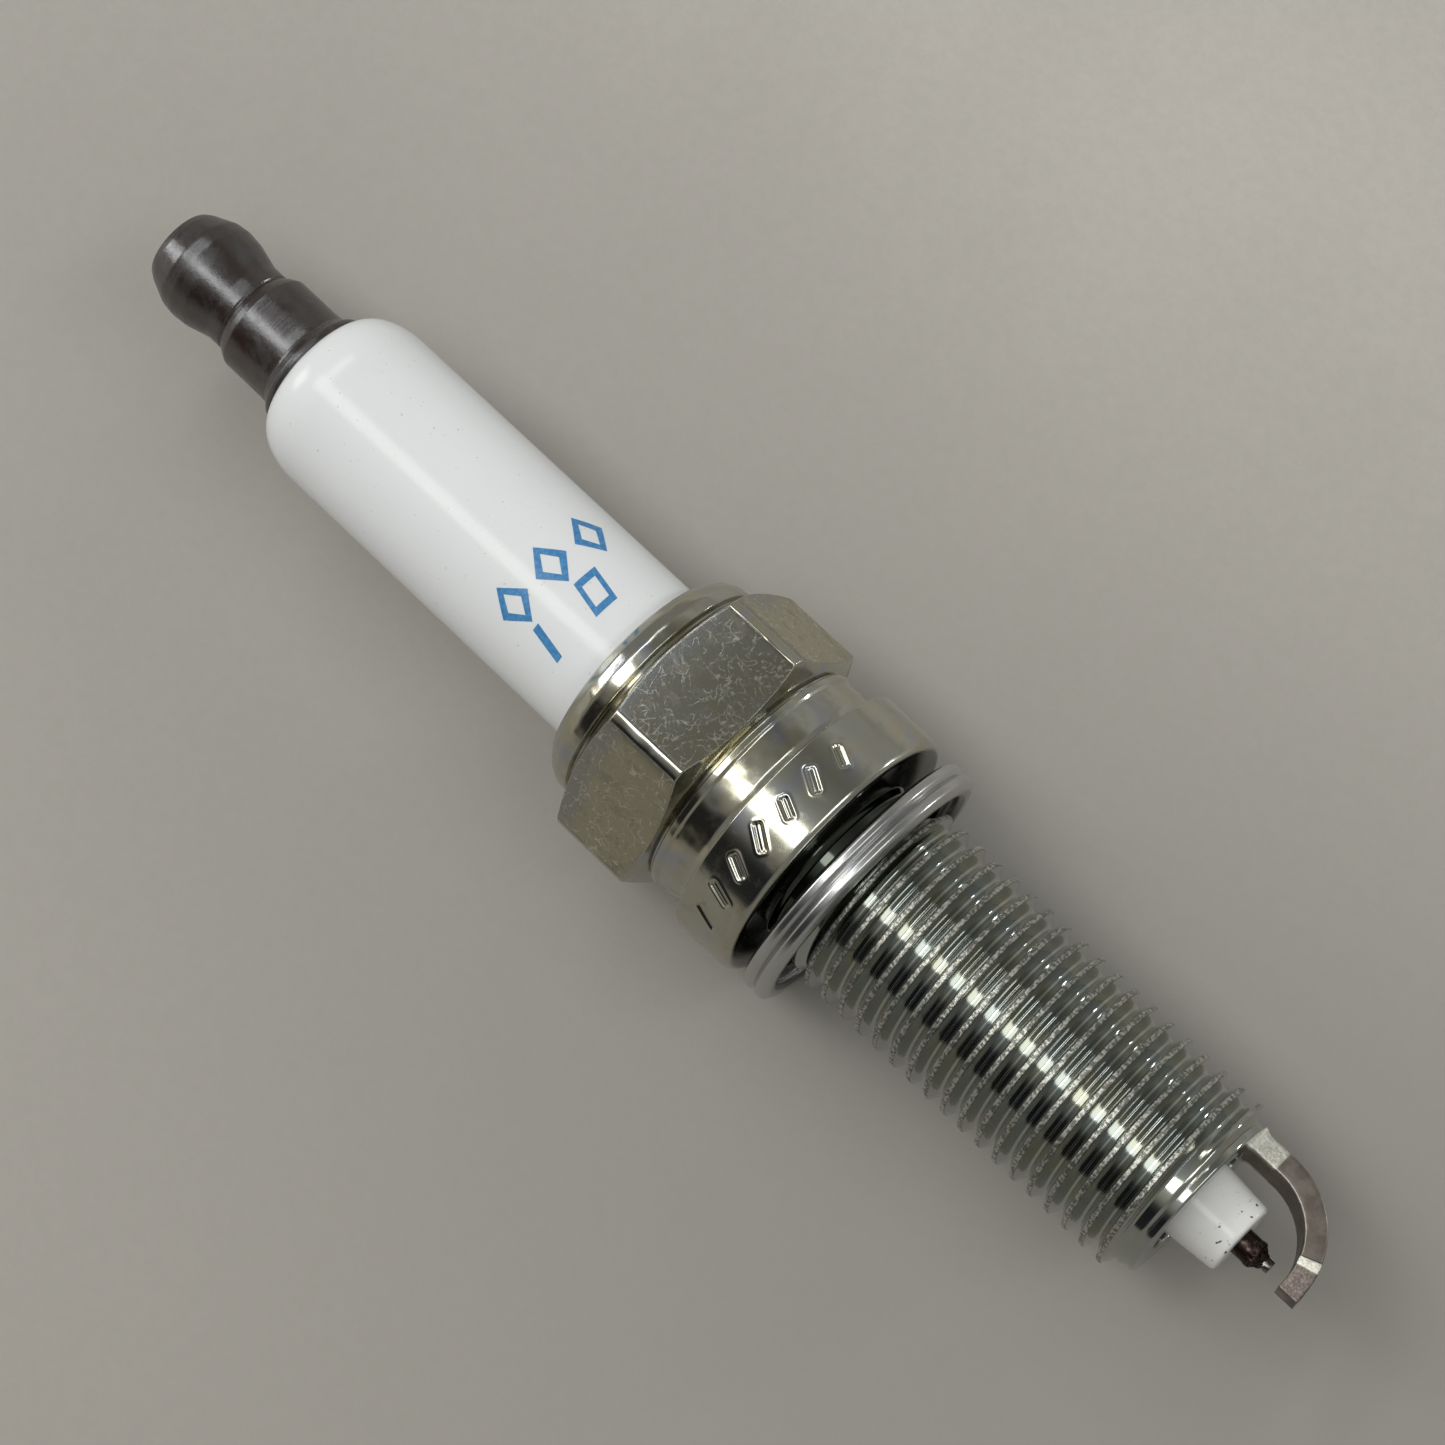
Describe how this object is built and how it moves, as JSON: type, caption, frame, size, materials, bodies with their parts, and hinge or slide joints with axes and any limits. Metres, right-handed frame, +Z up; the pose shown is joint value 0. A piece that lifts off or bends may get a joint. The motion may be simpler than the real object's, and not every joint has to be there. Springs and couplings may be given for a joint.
{
  "type": "spark plug",
  "caption": "Long-reach motorcycle spark plug with a ribless insulator, hexagon head, loose ring gasket, fine threaded shell and curved ground electrode.",
  "frame": {"origin": "on the plug's axis, in the plane of the shell's gasket seat", "axes": "+X along the plug's axis towards the firing end, +Z up with the plug lying down, square to one pair of hexagon flats; the ground electrode bends in the XY plane on the +Y side"},
  "size_m": [0.0859, 0.018, 0.0166],
  "materials": {
    "zinc_plate": "satin",
    "gasket_steel": "satin",
    "glazed_ceramic": "gloss",
    "dark_steel": "satin",
    "nickel_alloy": "satin",
    "copper": "satin",
    "iridium": "satin",
    "glass_seal": "gloss",
    "resistor_body": "matte",
    "packing_steel": "satin",
    "talc": "matte"
  },
  "bodies": {
    "plug": {"metal_shell": "zinc_plate", "insulator": "glazed_ceramic", "terminal_stud": "dark_steel", "upper_glass_seal": "glass_seal", "resistor": "resistor_body", "lower_glass_seal": "glass_seal", "center_electrode": "nickel_alloy", "center_electrode_copper_core": "copper", "iridium_tip": "iridium", "upper_packing_ring": "packing_steel", "talc_packing": "talc", "lower_packing_ring": "packing_steel", "seat_packing_washer": "packing_steel", "ground_electrode": "nickel_alloy"},
    "gasket": {"ring_gasket": "gasket_steel"}
  },
  "joints": [
    {"name": "gasket_rock", "type": "hinge", "parent": "plug", "child": "gasket", "pos_m": [0.0003, 0, -0.0082], "axis": [0, 1, 0], "range_deg": [-3.9, 0]}
  ]
}
